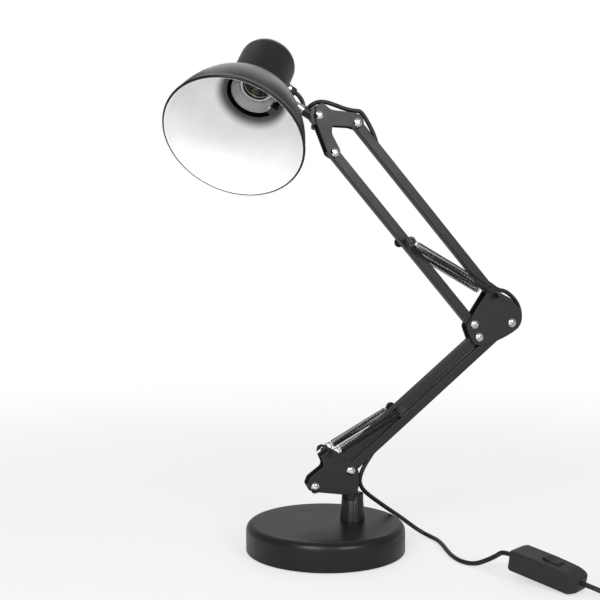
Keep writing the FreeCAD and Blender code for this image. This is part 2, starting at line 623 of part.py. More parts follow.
# ---- the length that is put away: a coil beside the lamp, and its plug ----
wound = coil_samples(Vector(262, -176, 0), 16.4, 4.9, 4, d + 0.5, d)
start_way, end_way = wound[0][1], wound[-1][1]
lead_in, lead_out = wound[0][0] - start_way * d, wound[-1][0] + end_way * d
run("cord_tail", [
    tuple(switch_to), tuple(switch_to + go * 12), (196.0, -208.0, 3.0), (210.0, -214.4, 2.2),
    (232.0, -214.0, 2.2), tuple(lead_in - start_way * 12), tuple(lead_in)], d)
put(tube([Part.LineSegment(lead_in, wound[0][0]).toShape()] + biarcs(wound)
         + [Part.LineSegment(wound[-1][0], lead_out).toShape()], d), "cord_coil")

resting = Placement(lead_out, Rotation(Vector(0, 0, 1),
                                       math.degrees(math.atan2(end_way.y, end_way.x))))
face, flat, relief = 62.0, lead_out.z, 28.0
shoulder = [(26, -7, 2), (41, -13, 5), (face, -13, 1.5), (face, 13, 1.5), (41, 13, 5), (26, 7, 2)]
side = [(26, -4.6, 1), (35, -flat, 6), (face, -flat, 1), (face, flat, 1), (35, flat, 6),
        (26, 4.6, 1)]
tapered = turned([(0, 0), (2.8, 0), (4.4, relief), (0, relief)], lead_out,
                 resting.Rotation * Rotation(Vector(0, 1, 0), 90))
keep(fused(common(slab(shoulder, "XY_Plane", 12, resting), slab(side, "XZ_Plane", 20, resting)),
           tapered), "plug_body")
for way, name in ((1, "left"), (-1, "right")):
    radius = P["pin_radius"]
    keep(turned([(0, 0), (radius, 0), (radius, 18), ("arc", (radius * 0.9, 18.7), (radius * 0.6, 19)),
                 (0, 19)],
                resting.multVec(Vector(face, way * P["pin_spacing"] / 2, 0)),
                resting.Rotation * Rotation(Vector(0, 1, 0), 90)), f"plug_pin_{name}")

# ---- the sub-parts as files ----
doc.recompute()
for obj in doc.Objects:
    if {"Invalid", "Error"} & set(obj.State):
        raise SystemExit(f"{obj.Name} ({obj.Label}): {obj.State}")
os.makedirs("parts", exist_ok=True)
for obj in NODES:
    shape = obj.Shape
    if shape.isNull() or not shape.isValid() or len(shape.Solids) != 1:
        raise SystemExit(f"{obj.Label}: {len(shape.Solids)} solids, valid {shape.isValid()}")
    shape.exportStep(f"parts/{obj.Label}.step")
    print(f"  {obj.Label:20} {shape.Volume / 1000:8.2f} cm3")
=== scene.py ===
"""A balanced-arm desk lamp: spring arms, a domed shade, a round base and a cord with a switch."""
import json
import math

import bmesh
import bpy
from bpy.props import FloatProperty, FloatVectorProperty, IntProperty, PointerProperty
from mathutils import Matrix, Vector


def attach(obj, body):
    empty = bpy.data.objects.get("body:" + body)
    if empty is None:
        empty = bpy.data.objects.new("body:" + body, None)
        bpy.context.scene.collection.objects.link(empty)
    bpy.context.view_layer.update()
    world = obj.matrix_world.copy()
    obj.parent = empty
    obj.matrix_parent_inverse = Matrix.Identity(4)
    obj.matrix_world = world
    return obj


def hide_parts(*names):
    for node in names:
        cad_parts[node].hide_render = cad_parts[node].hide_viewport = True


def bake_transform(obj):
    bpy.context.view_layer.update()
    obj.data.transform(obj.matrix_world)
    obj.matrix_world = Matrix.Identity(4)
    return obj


bl_info = {
    "name": "Balanced-arm desk lamp",
    "version": (1, 0, 0),
    "blender": (4, 5, 0),
    "location": "View3D > Sidebar > Lamp",
    "description": "Builds the visible pieces of a balanced-arm desk lamp round its frame",
    "category": "Object",
}

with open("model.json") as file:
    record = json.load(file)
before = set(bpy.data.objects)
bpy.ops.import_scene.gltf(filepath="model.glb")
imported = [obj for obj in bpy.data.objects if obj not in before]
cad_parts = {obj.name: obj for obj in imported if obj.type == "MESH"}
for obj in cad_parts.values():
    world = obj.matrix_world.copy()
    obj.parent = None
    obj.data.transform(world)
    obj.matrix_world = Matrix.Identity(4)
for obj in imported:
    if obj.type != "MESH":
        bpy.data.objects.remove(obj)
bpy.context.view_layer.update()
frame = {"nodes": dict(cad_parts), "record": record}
MM = 0.001

# Places on the lamp, in metres, as the frame has them.
SHADE_SEAT = Vector((-0.067533, 0.0, 0.465813))
STEM_WAY = Vector((-0.86287, 0.0, 0.50543))
SHADE_DOWN = Vector((-0.40906, -0.58736, -0.69834))
HIP_PIVOT, ELBOW_LOWER = Vector((0.02423, 0, 0.08033)), Vector((0.20163, 0, 0.22672))
ELBOW_UPPER, HEAD_PIVOT = Vector((0.18258, 0, 0.25607)), Vector((0.03096, 0, 0.42902))
SPRING_EAR, LOWER_ANCHOR = Vector((0.005, 0, 0.1005)), Vector((0.0758, 0, 0.1392))
UPPER_ANCHOR = Vector((0.08461, 0, 0.31066))
SWITCH_NEAR, SWITCH_FAR = Vector((0.142, -0.1304, 0.0202)), Vector((0.178, -0.187, 0.0094))
COIL_MIDDLE = Vector((0.262, -0.176, 0.0))
SPRING_SIDE = 0.0143  # from the arms' plane to a spring's middle
CORD_REST = 0.0022  # height of the cord's middle where it lies on the table
NECK_SHADE_DARK, NECK_SHADE_GONE = 0.0212, 0.0300  # depths in the shade between which painted shade round the holder fades into the white coat
WHITE_REACH = 0.0660  # the rolled rim outside this radius stays black

# How finely the meshes follow their shapes.
EYE_STEPS, EYE_TURN, COIL_STEPS = 12, 330, 14
FLAT_ANGLE, ROUNDED_ANGLE = 1.0, 40

# The picture's view, and the point that the lights face.
CAMERA_PLACE, CAMERA_LENS = (-0.2793, -0.9306, 0.2862), 58.28
CAMERA_DOWN, CAMERA_TURN = 2.009, -15.19
LIGHTS_AIM = Vector((0.05, 0, 0.22))


# ---- settings that a user would change ----

def length(name, description, default):
    """A size in metres, for a property group."""
    return FloatProperty(name=name, description=description, default=default, unit="LENGTH",
                         min=0.0, precision=5)


def colour(name, description, default):
    """A linear colour, for a property group."""
    return FloatVectorProperty(name=name, description=description, default=default, size=3,
                               subtype="COLOR", min=0.0, max=1.0)


class LampShape(bpy.types.PropertyGroup):
    """Sizes of the pieces that the frame leaves open."""

    edge: length("Edge", "Rounding of the pressed and sawn edges", 0.00028)
    cord: length("Cord", "Diameter of the mains lead", 0.0044)
    wire: length("Spring wire", "Diameter of the balance springs' wire", 0.00082)
    coil: length("Spring coil", "Radius of the balance springs, to the wire's middle", 0.00395)
    lower_turns: IntProperty(name="Lower turns", description="Turns of a lower spring",
                             default=48, min=10)
    upper_turns: IntProperty(name="Upper turns", description="Turns of an upper spring",
                             default=66, min=10)
    thread_pitch: length("Thread pitch", "Pitch of the lamp holder's thread", 0.0036)


class LampFinish(bpy.types.PropertyGroup):
    """Colours of the lamp's finishes."""

    paint: colour("Paint", "Satin black coat of the arms, base and shade", (0.0050, 0.0052, 0.0057))
    enamel: colour("Enamel", "White inside of the shade", (0.88, 0.88, 0.875))
    plated: colour("Plated", "Bright plated screws, stem and wing nut", (0.55, 0.55, 0.56))
    steel: colour("Steel", "Blackened wire and bolts", (0.045, 0.045, 0.048))
    brass: colour("Brass", "Middle contact of the lamp holder", (0.72, 0.54, 0.22))
    plastic: colour("Plastic", "Moulded switch, plug and holder", (0.006, 0.006, 0.0065))
    lead: colour("Lead", "Cover of the mains lead", (0.006, 0.006, 0.0065))
    floor: colour("Floor", "Table top", (0.86, 0.86, 0.86))


# ---- finishes ----

def node_group(name, sockets):
    """An empty shader group with its inputs and outputs."""
    group = bpy.data.node_groups.new(name, "ShaderNodeTree")
    for label, way, kind, default in sockets:
        socket = group.interface.new_socket(label, in_out=way, socket_type=kind)
        if default is not None:
            socket.default_value = default
    return group, group.nodes.new("NodeGroupInput"), group.nodes.new("NodeGroupOutput")


def surface_group():
    """Fine grain, faint clouding and rub marks, on a piece's own coordinates."""
    group, into, out = node_group("Surface grain", [
        ("Colour", "INPUT", "NodeSocketColor", (0.1, 0.1, 0.1, 1)),
        ("Worn colour", "INPUT", "NodeSocketColor", (0.2, 0.2, 0.2, 1)),
        ("Roughness", "INPUT", "NodeSocketFloat", 0.4),
        ("Spread", "INPUT", "NodeSocketFloat", 0.08),
        ("Grain size", "INPUT", "NodeSocketFloat", 0.0006),
        ("Grain depth", "INPUT", "NodeSocketFloat", 0.00002),
        ("Wear", "INPUT", "NodeSocketFloat", 0.1),
        ("Colour", "OUTPUT", "NodeSocketColor", None),
        ("Roughness", "OUTPUT", "NodeSocketFloat", None),
        ("Normal", "OUTPUT", "NodeSocketVector", None),
    ])
    nodes, link = group.nodes, group.links.new
    place = nodes.new("ShaderNodeTexCoord")

    def noise(scale, detail):
        """A noise on the piece's own coordinates."""
        node = nodes.new("ShaderNodeTexNoise")
        node.inputs["Scale"].default_value = scale
        node.inputs["Detail"].default_value = detail
        link(place.outputs["Object"], node.inputs["Vector"])
        return node

    grain, clouds, marks = noise(1000.0, 3.0), noise(38.0, 4.0), noise(420.0, 5.0)
    count = nodes.new("ShaderNodeMath")
    count.operation = "DIVIDE"
    count.inputs[0].default_value = 1.0
    link(into.outputs["Grain size"], count.inputs[1])
    link(count.outputs[0], grain.inputs["Scale"])

    def band(source, low, high, to_low, to_high):
        """A range of a value, stretched on to another range."""
        node = nodes.new("ShaderNodeMapRange")
        for label, value in (("From Min", low), ("From Max", high), ("To Min", to_low),
                             ("To Max", to_high)):
            node.inputs[label].default_value = value
        link(source, node.inputs["Value"])
        return node

    rubbed = band(marks.outputs["Fac"], 0.60, 0.74, 0.0, 1.0)
    amount = nodes.new("ShaderNodeMath")
    amount.operation = "MULTIPLY"
    link(rubbed.outputs["Result"], amount.inputs[0])
    link(into.outputs["Wear"], amount.inputs[1])
    tint = nodes.new("ShaderNodeMix")
    tint.data_type = "RGBA"
    link(amount.outputs[0], tint.inputs["Factor"])
    link(into.outputs["Colour"], tint.inputs["A"])
    link(into.outputs["Worn colour"], tint.inputs["B"])
    shade = band(clouds.outputs["Fac"], 0.3, 0.7, 0.97, 1.03)
    vary = nodes.new("ShaderNodeVectorMath")
    vary.operation = "SCALE"
    link(tint.outputs["Result"], vary.inputs[0])
    link(shade.outputs["Result"], vary.inputs["Scale"])
    link(vary.outputs[0], out.inputs["Colour"])

    swing = band(clouds.outputs["Fac"], 0.3, 0.7, -1.0, 1.0)
    rough = nodes.new("ShaderNodeMath")
    rough.operation = "MULTIPLY_ADD"
    link(swing.outputs["Result"], rough.inputs[0])
    link(into.outputs["Spread"], rough.inputs[1])
    link(into.outputs["Roughness"], rough.inputs[2])
    link(rough.outputs[0], out.inputs["Roughness"])

    bump = nodes.new("ShaderNodeBump")
    link(grain.outputs["Fac"], bump.inputs["Height"])
    link(into.outputs["Grain depth"], bump.inputs["Distance"])
    link(bump.outputs["Normal"], out.inputs["Normal"])
    return group


def finish_of(name, tone, worn, rough, spread, grain, depth, wear, metallic=0.0, coat=0.0,
              specular=0.5):
    """A material whose colour, roughness and grain come from the surface group."""
    material = bpy.data.materials.new(name)
    material.use_nodes = True
    nodes, link = material.node_tree.nodes, material.node_tree.links.new
    shader = nodes["Principled BSDF"]
    shader.inputs["Metallic"].default_value = metallic
    shader.inputs["Specular IOR Level"].default_value = specular
    shader.inputs["Coat Weight"].default_value = coat
    shader.inputs["Coat Roughness"].default_value = 0.25
    surface = nodes.new("ShaderNodeGroup")
    surface.node_tree = bpy.data.node_groups["Surface grain"]
    values = {"Colour": (*tone, 1), "Worn colour": (*worn, 1), "Roughness": rough,
              "Spread": spread, "Grain size": grain, "Grain depth": depth, "Wear": wear}
    for label, value in values.items():
        surface.inputs[label].default_value = value
    link(surface.outputs["Colour"], shader.inputs["Base Color"])
    link(surface.outputs["Roughness"], shader.inputs["Roughness"])
    link(surface.outputs["Normal"], shader.inputs["Normal"])
    return material


def paint_neck_shade(material):
    """Painted shade: the white coat darkens towards the neck round the holder, standing for the
    shade in that recess, and runs into the black of the cap.
    """
    nodes, link = material.node_tree.nodes, material.node_tree.links.new
    shader = nodes["Principled BSDF"]
    coat = shader.inputs["Base Color"].links[0].from_socket
    place, depth = nodes.new("ShaderNodeTexCoord"), nodes.new("ShaderNodeVectorMath")
    depth.operation = "DOT_PRODUCT"
    depth.inputs[1].default_value = SHADE_DOWN
    link(place.outputs["Object"], depth.inputs[0])
    edge, seat = nodes.new("ShaderNodeMapRange"), SHADE_SEAT.dot(SHADE_DOWN)
    edge.interpolation_type = "SMOOTHSTEP"
    edge.inputs["From Min"].default_value = seat + NECK_SHADE_DARK
    edge.inputs["From Max"].default_value = seat + NECK_SHADE_GONE
    link(depth.outputs["Value"], edge.inputs["Value"])
    mix = nodes.new("ShaderNodeMix")
    mix.data_type = "RGBA"
    # the dark of the painted shade at the neck
    mix.inputs["A"].default_value = (0.02, 0.02, 0.02, 1)
    link(edge.outputs["Result"], mix.inputs["Factor"])
    link(coat, mix.inputs["B"])
    link(mix.outputs["Result"], shader.inputs["Base Color"])


def make_finishes():
    """Every finish of the lamp, by name."""
    tones = bpy.context.scene.lamp_finish
    surface_group()
    lighter = tuple(c * 1.6 + 0.004 for c in tones.paint)
    finish_of("black paint", tones.paint, lighter, 0.42, 0.04, 0.0009, 0.000016, 0.25,
              specular=0.42)
    finish_of("smooth black paint", tones.paint, lighter, 0.34, 0.03, 0.0012, 0.000008, 0.15,
              specular=0.34)
    finish_of("white enamel", tones.enamel, (0.72, 0.72, 0.70), 0.42, 0.05, 0.0011, 0.000012, 0.2)
    finish_of("bright plating", tones.plated, (0.6, 0.6, 0.6), 0.16, 0.05, 0.0005, 0.000003, 0.3,
              metallic=1.0)
    finish_of("spring wire", tones.steel, (0.16, 0.16, 0.16), 0.32, 0.05, 0.0008, 0.000002, 0.4,
              metallic=0.9)
    finish_of("black bolt", tones.steel, (0.14, 0.14, 0.14), 0.36, 0.06, 0.0006, 0.000005, 0.5,
              metallic=0.8)
    finish_of("holder sheet", (0.50, 0.50, 0.50), (0.4, 0.4, 0.4), 0.34, 0.08, 0.0008, 0.000008,
              0.4, metallic=0.85)
    finish_of("contact brass", tones.brass, (0.5, 0.36, 0.15), 0.30, 0.08, 0.0006, 0.000006, 0.4,
              metallic=1.0)
    dull = tuple(c * 1.8 + 0.01 for c in tones.plastic)
    finish_of("moulded plastic", tones.plastic, dull, 0.46, 0.06, 0.0005, 0.000045, 0.3)
    finish_of("pad rubber", (0.018, 0.018, 0.018), dull, 0.8, 0.05, 0.0008, 0.00006, 0.3)
    finish_of("cast iron", (0.06, 0.06, 0.06), (0.12, 0.11, 0.10), 0.7, 0.1, 0.0015, 0.0002, 0.5)
    finish_of("lead cover", tones.lead, tuple(c * 2 + 0.004 for c in tones.lead), 0.42, 0.06,
              0.0007, 0.000012, 0.3, specular=0.4)
    # paints shade into the white coat round the holder
    paint_neck_shade(bpy.data.materials["white enamel"])


# ---- ways to make a piece ----

def piece(name, mesh, body, *materials):
    """Adds a finished mesh as a piece that rides on a body."""
    obj = bpy.data.objects.new(name, mesh)
    bpy.context.scene.collection.objects.link(obj)
    for material in materials:
        mesh.materials.append(bpy.data.materials[material])
    if body:
        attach(obj, body)
    return obj


def to_mesh(bm, name, place=None, sharp=35.0):
    """Turns a bmesh into a mesh in its place, smooth but for its sharp edges."""
    if place is not None:
        bmesh.ops.transform(bm, matrix=place, verts=bm.verts)
    mesh = bpy.data.meshes.new(name)
    bm.to_mesh(mesh)
    bm.free()
    mesh.shade_smooth()
    mesh.set_sharp_from_angle(angle=math.radians(sharp))
    return mesh


def arc(x, z, radius, start, end, steps):
    """Points of an arc in the profile's plane; angles in degrees."""
    turns = [math.radians(start + (end - start) * i / steps) for i in range(steps + 1)]
    return [(x + radius * math.cos(a), z + radius * math.sin(a)) for a in turns]


def bend(first, middle, last, steps):
    """Points of the arc through three profile points."""
    (x1, z1), (x2, z2), (x3, z3) = first, middle, last
    d = 2 * (x1 * (z2 - z3) + x2 * (z3 - z1) + x3 * (z1 - z2))
    a, b, c = x1 * x1 + z1 * z1, x2 * x2 + z2 * z2, x3 * x3 + z3 * z3
    x = (a * (z2 - z3) + b * (z3 - z1) + c * (z1 - z2)) / d
    z = (a * (x3 - x2) + b * (x1 - x3) + c * (x2 - x1)) / d
    start, end = math.atan2(z1 - z, x1 - x), math.atan2(z3 - z, x3 - x)
    end += 2 * math.pi * round((start - end) / (2 * math.pi))
    return arc(x, z, math.hypot(x1 - x, z1 - z), math.degrees(start), math.degrees(end), steps)


def lathe(profile, steps):
    """Turns a closed profile of (radius, height), in millimetres, about Z."""
    bm = bmesh.new()
    verts = [bm.verts.new((x * MM, 0, z * MM)) for x, z in profile]
    edges = [bm.edges.new((a, b)) for a, b in zip(verts, verts[1:] + verts[:1])]
    bmesh.ops.spin(bm, geom=verts + edges, cent=(0, 0, 0), axis=(0, 0, 1),
                   angle=2 * math.pi, steps=steps, use_merge=True)
    bmesh.ops.remove_doubles(bm, verts=bm.verts, dist=1e-7)
    loose = [f for f in bm.faces if f.calc_area() < 1e-14]
    bmesh.ops.delete(bm, geom=loose, context="FACES")
    bmesh.ops.recalc_face_normals(bm, faces=bm.faces)
    return bm


def aimed(at, way):
    """A matrix that puts +Z along a direction."""
    return Matrix.Translation(at) @ way.to_track_quat("Z", "Y").to_matrix().to_4x4()


def head_place():
    """The shade's frame: +Z towards the cap's end, +X along the stem, away from the arm."""
    z = -SHADE_DOWN
    y = z.cross(STEM_WAY)
    return Matrix.Translation(SHADE_SEAT) @ Matrix((STEM_WAY, y, z)).transposed().to_4x4()


def refined(node, body, material, edge, segments=2):
    """A merged copy of a frame solid with rounded edges, which stands for it."""
    bm = bmesh.new()
    bm.from_mesh(frame["nodes"][node].data)
    bmesh.ops.remove_doubles(bm, verts=bm.verts, dist=2e-6)
    bmesh.ops.dissolve_limit(bm, angle_limit=math.radians(FLAT_ANGLE), verts=bm.verts,
                             edges=bm.edges)
    mesh = to_mesh(bm, node)
    obj = piece(f"{node}_piece", mesh, body, material)
    if edge > 0:
        rounding = obj.modifiers.new("Rounded edges", "BEVEL")
        rounding.width = edge
        rounding.segments = segments
        rounding.limit_method = "ANGLE"
        rounding.angle_limit = math.radians(ROUNDED_ANGLE)
        rounding.harden_normals = True
    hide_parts(node)
    return obj


def curve_of(name, points, diameter, resolution=10):
    """A round cord on one smooth spline whose control points are given."""
    data = bpy.data.curves.new(name, "CURVE")
    data.dimensions = "3D"
    data.bevel_depth = diameter / 2
    data.bevel_resolution = 5
    data.use_fill_caps = True
    data.resolution_u = resolution
    spline = data.splines.new("NURBS")
    spline.points.add(len(points) - 1)
    for spot, place in zip(spline.points, points):
        spot.co = (*place, 1)
    spline.order_u = 3
    spline.use_endpoint_u = True
    return data


def evaluated(data, name):
    """The mesh of a curve, and the curve itself removed."""
    maker = bpy.data.objects.new(name, data)
    bpy.context.scene.collection.objects.link(maker)
    bpy.context.view_layer.update()
    made = bpy.data.meshes.new_from_object(maker.evaluated_get(
        bpy.context.evaluated_depsgraph_get()))
    bpy.data.objects.remove(maker)
    bpy.data.curves.remove(data)
    made.name = name
    return made


def line_of(points):
    """The points that a cord's spline passes through, for a cord that is a mesh."""
    data = curve_of("line", points, 0.0)
    data.use_fill_caps = False
    return [tuple(v.co) for v in evaluated(data, "line").vertices]


def tube_of(name, points, diameter, material):
    """A cord as a mesh, which rides on no body."""
    mesh = evaluated(curve_of(name, points, diameter), name)
    mesh.shade_smooth()
    return piece(name, mesh, None, material)


def metres(points):
    """Route points in millimetres, as metres."""
    return [Vector(p) * MM for p in points]


def beside(start, way, along, off):
    """A point of the arms' plane, along an arm and off its middle, in millimetres."""
    square = Vector((-way.z, 0, way.x))
    return tuple(start / MM + way * along + square * off)


# ---- operators, one for each group of like pieces ----

class LAMP_OT_base(bpy.types.Operator):
    """Build the round base: its pressed cover, the cast weight and the foot pad."""

    bl_idname = "lamp.base"
    bl_label = "Base"

    def execute(self, context):
        cover = [(0, 29), (60, 29)] + arc(72.5, 21.5, 7.5, 90, 0, 14) + [(80, 3.0)]
        cover += arc(79, 2.0, 1.0, 0, -90, 5) + [(77.2, 1.0), (77.2, 20.5)]
        cover += arc(72.3, 21.3, 4.9, 0, 90, 8) + [(0, 26.2)]
        obj = piece("base_cover", to_mesh(lathe(cover, 160), "base_cover"), "base",
                    "smooth black paint")
        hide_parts("base_shell")
        refined("base_weight", "base", "cast iron", 0.0008)
        refined("base_pad", "base", "pad rubber", 0.0003)
        return {"FINISHED"}


class LAMP_OT_metalwork(bpy.types.Operator):
    """Build the post, turret, plates, tubes, screws and bolts from the frame's solids."""

    bl_idname = "lamp.metalwork"
    bl_label = "Arms and plates"

    def execute(self, context):
        edge = context.scene.lamp_shape.edge
        kinds = {
            "black_paint": ("black paint", edge),
            "screw_chrome": ("bright plating", edge * 0.5),
            "bolt_steel": ("black bolt", edge),
            "stem_chrome": ("bright plating", edge),
            "socket_moulding": ("moulded plastic", edge),
        }
        slots = {row["node"]: row["material_slot"] for row in frame["record"]["subparts"]}
        bodies = frame["record"]["behaviour"]["bodies"]
        body_of = {node: body for body, held in bodies.items() for node in held}
        for node, slot in slots.items():
            if slot in kinds and node not in ("base_shell", "socket_body"):
                material, width = kinds[slot]
                refined(node, body_of[node], material, width)
        return {"FINISHED"}


class LAMP_OT_shade(bpy.types.Operator):
    """Build the domed shade with its rolled rim, and the round cap above it."""

    bl_idname = "lamp.shade"
    bl_label = "Shade"

    def execute(self, context):
        outside = bend((31.2, -22.1), (54.0, -50.0), (66.8, -86.0), 28)
        inside = [(x - 1.2, z - 0.2) for x, z in outside]
        rim = arc(66.6, -89.9, 1.5, 55, -235, 14)
        profile = [(26.8, -20.5), (28.2, -20.5), (29.4, -20.9)] + outside + rim
        profile += inside[::-1] + [(29.6, -22.2), (26.8, -21.7)]
        bm = lathe(profile, 144)
        for face in bm.faces:
            middle = face.calc_center_median()
            out = Vector((middle.x, middle.y, 0)).normalized()
            reach = math.hypot(middle.x, middle.y)
            face.material_index = int(face.normal.dot(out) < 0 and reach < WHITE_REACH)
        obj = piece("shade_bowl", to_mesh(bm, "shade_bowl", head_place()), "head",
                    "smooth black paint", "white enamel")
        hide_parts("shade_shell")

        bead = arc(28.0, -17.6, 0.35, -90, 90, 6)
        cap = [(26.8, -20.5), (28.0, -20.5)] + bead + [(28.0, 28.0)]
        cap += arc(14.0, 28.0, 14.0, 0, 90, 16)[1:] + [(0, 42.0), (0, 40.8)]
        cap += arc(14.0, 28.0, 12.8, 90, 0, 12)
        obj = piece("shade_cap_piece", to_mesh(lathe(cap, 112), "shade_cap_piece", head_place()),
                    "head", "smooth black paint")
        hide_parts("shade_cap")
        return {"FINISHED"}


class LAMP_OT_holder(bpy.types.Operator):
    """Build the lamp holder inside the shade: skirt, threaded shell, body and contact."""

    bl_idname = "lamp.holder"
    bl_label = "Lamp holder"

    def execute(self, context):
        place = head_place()
        pitch = context.scene.lamp_shape.thread_pitch
        turns, steps, waves = 6.0, 56, 8
        radius, depth, start = 13.62, 0.28, 9.2
        bm = bmesh.new()
        wave = [(radius + depth * math.cos(2 * math.pi * i / waves), i / waves * pitch / MM)
                for i in range(waves + 1)]
        verts = [bm.verts.new((x * MM, 0, (z - start) * MM)) for x, z in wave]
        edges = [bm.edges.new(pair) for pair in zip(verts, verts[1:])]
        bmesh.ops.spin(bm, geom=verts + edges, cent=(0, 0, 0), axis=(0, 0, 1),
                       angle=2 * math.pi * turns, steps=int(steps * turns),
                       dvec=(0, 0, pitch / steps))
        bmesh.ops.remove_doubles(bm, verts=bm.verts, dist=1e-6)
        top, low = 13.5 * MM, -9.0 * MM
        for height, way in ((top, 1), (low, -1)):
            bmesh.ops.bisect_plane(bm, geom=bm.verts[:] + bm.edges[:] + bm.faces[:],
                                   plane_co=(0, 0, height), plane_no=(0, 0, way),
                                   clear_outer=True)
        bmesh.ops.recalc_face_normals(bm, faces=bm.faces)
        if sum(f.normal.dot(f.calc_center_median()) for f in bm.faces) > 0:
            bmesh.ops.reverse_faces(bm, faces=bm.faces)
        thread = piece("holder_thread", to_mesh(bm, "holder_thread", place, 60), "head",
                       "bright plating")
        wall = thread.modifiers.new("Wall", "SOLIDIFY")
        wall.thickness = 0.0003
        wall.offset = -1
        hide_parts("socket_thread")

        skirt = [(14.4, -9.0), (14.4, -9.9), (16.0, -10.1), (16.4, -11.0)]
        skirt += bend((17.0, -12.0), (19.6, -15.6), (22.0, -19.2), 8)
        skirt += [(22.4, -19.9), (23.2, -19.4)]
        skirt += bend((22.9, -18.6), (20.4, -14.6), (17.6, -10.4), 8)
        skirt += [(17.0, -9.0)]
        obj = piece("holder_skirt", to_mesh(lathe(skirt, 96), "holder_skirt", place), "head",
                    "holder sheet")
        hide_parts("socket_skirt")

        holder = [(14.0, -9.0), (17.6, -9.0)] + arc(17.6, -8.0, 1.0, -60, 0, 4)
        holder += [(18.6, -2.0), (19.0, -1.6), (19.0, 4.0), (18.6, 4.4), (18.6, 25.0)]
        holder += arc(15.6, 26.8, 3.2, 0, 90, 6) + [(5.0, 30.0), (5.0, 40.8), (0, 40.8), (0, 17.0)]
        holder += [(13.9, 17.0)]
        obj = piece("holder_body", to_mesh(lathe(holder, 96), "holder_body", place), "head",
                    "moulded plastic")
        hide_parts("socket_body")
        refined("socket_contact", "head", "contact brass", 0.0002)
        return {"FINISHED"}


def spring_line(start, end, y, first, last, eye_first, pin_first, eye_last, radius, turns):
    """Points of a spring's wire: an eye, the close coil and the other eye."""
    side = Vector((0, y, 0))
    start, end = start + side, end + side
    axis = (end - start).normalized()
    slack, last_pin = 0.0005, 0.0030  # the last pin's radius has its slack in it
    nudge_first, nudge_last = eye_first - pin_first - slack, eye_last - last_pin
    lift = Vector((-axis.z, 0, axis.x))
    across = axis.cross(lift)
    points = []
    for i in range(EYE_STEPS + 1):
        a = math.radians(90 + EYE_TURN * (EYE_STEPS - i) / EYE_STEPS)
        points.append(start + axis * nudge_first
                      + (axis * math.cos(a) + lift * math.sin(a)) * eye_first)
    reach = (end - start).length - first - last
    steps = COIL_STEPS
    for i in range(turns * steps + 1):
        a = 2 * math.pi * i / steps
        growth = min(1.0, (i + 3) / (steps * 1.2), (turns * steps - i + 3) / (steps * 1.2))
        spot = lift * math.cos(a) + across * math.sin(a)
        points.append(start + axis * (first + reach * i / (turns * steps))
                      + spot * radius * (0.72 + 0.28 * growth))
    for i in range(EYE_STEPS + 1):
        a = math.radians(90 - EYE_TURN * i / EYE_STEPS)
        points.append(end - axis * nudge_last
                      + (axis * math.cos(a) + lift * math.sin(a)) * eye_last)
    return points


class LAMP_OT_springs(bpy.types.Operator):
    """Build the four balance springs, close wound, with an eye round each pin."""

    bl_idname = "lamp.springs"
    bl_label = "Springs"

    def execute(self, context):
        shape = context.scene.lamp_shape
        pairs = [
            ("lower", SPRING_EAR, LOWER_ANCHOR, 0.0072, 0.0062, 0.0040, 0.0015, 0.0038,
             shape.lower_turns, "turret", "lower_rod"),
            ("upper", UPPER_ANCHOR, ELBOW_UPPER, 0.0080, 0.0102, 0.0040, 0.0025, 0.0040,
             shape.upper_turns, "upper_rod", "elbow_joint"),
        ]
        for name, start, end, first, last, eye_a, pin, eye_b, turns, body_a, body_b in pairs:
            for side, y in (("near", -SPRING_SIDE), ("far", SPRING_SIDE)):
                points = spring_line(start, end, y, first, last, eye_a, pin, eye_b,
                                     shape.coil, turns)
                data = curve_of("wire", points, shape.wire, 2)
                data.bevel_resolution = 1
                mesh = evaluated(data, f"{name}_spring_{side}_coil")
                mesh.shade_smooth()
                obj = piece(mesh.name, mesh, None, "spring wire")
                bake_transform(obj)
                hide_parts(f"{name}_spring_{side}")
        return {"FINISHED"}


class LAMP_OT_held_cords(bpy.types.Operator):
    """Build the stretches of cord that the head, the elbow and the tubes hold."""

    bl_idname = "lamp.held_cords"
    bl_label = "Cord along the arms"

    def execute(self, context):
        upper = (ELBOW_UPPER - HEAD_PIVOT).normalized()
        lower = (HIP_PIVOT - ELBOW_LOWER).normalized()
        mouth = head_place() @ Vector((-0.0374, 0, 0.016))
        stretches = [
            ("cord_gland_loop", "head", "tilt_arm", [
                tuple(mouth / MM), (-25.9, 9.5, 456.5), (-21.2, 9.8, 450.2), (-20.9, 9.6, 447.2)]),
            ("cord_tilt_loop", "tilt_arm", "head_bracket", [
                (-20.9, 9.6, 447.2), (-20.6, 9.4, 444.2), (-17.4, 7.4, 441.6),
                (-15.6, 3.6, 444.6), (-10.6, 0.6, 448.2), (-1.6, 0, 449.4), (4.2, 0, 447.8)]),
            ("cord_upper_run", "head_bracket", "upper_arm", [
                (4.2, 0, 447.8), (10.0, 0, 446.2), (21.0, 0, 442.6), (30.2, 0, 441.4)]
             + [beside(HEAD_PIVOT, upper, *p) for p in (
                 (-6, 12.0), (2, 11.8), (12, 10.0), (21.5, 7.6), (30, 3.8), (40, 0.9),
                 (56, 0.2), (80, 0))]),
            ("cord_elbow_top", "upper_arm", "elbow_joint",
             [beside(ELBOW_UPPER, upper, *p) for p in (
                 (-62, 0), (-36, 0.3), (-21, 1.8), (-10, 5.2), (0.5, 8.0))]
             + [(197.4, 0, 259.9), (206.0, 0, 253.6), (209.2, 0, 249.6)]),
            ("cord_elbow_low", "elbow_joint", "lower_arm", [
                (209.2, 0, 249.6), (212.4, 0, 245.6), (215.0, 0, 236.0), (214.4, 0, 226.6),
                (209.4, 0, 220.4)]
             + [beside(ELBOW_LOWER, lower, *p) for p in (
                 (9, 8.0), (20, 5.0), (32, 0.8), (50, 0.2), (72, 0))]),
        ]
        for name, body_a, body_b, route in stretches:
            points = metres(route)
            obj = tube_of(f"{name}_piece", points, context.scene.lamp_shape.cord, "lead cover")
            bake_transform(obj)
            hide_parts(name)
        return {"FINISHED"}


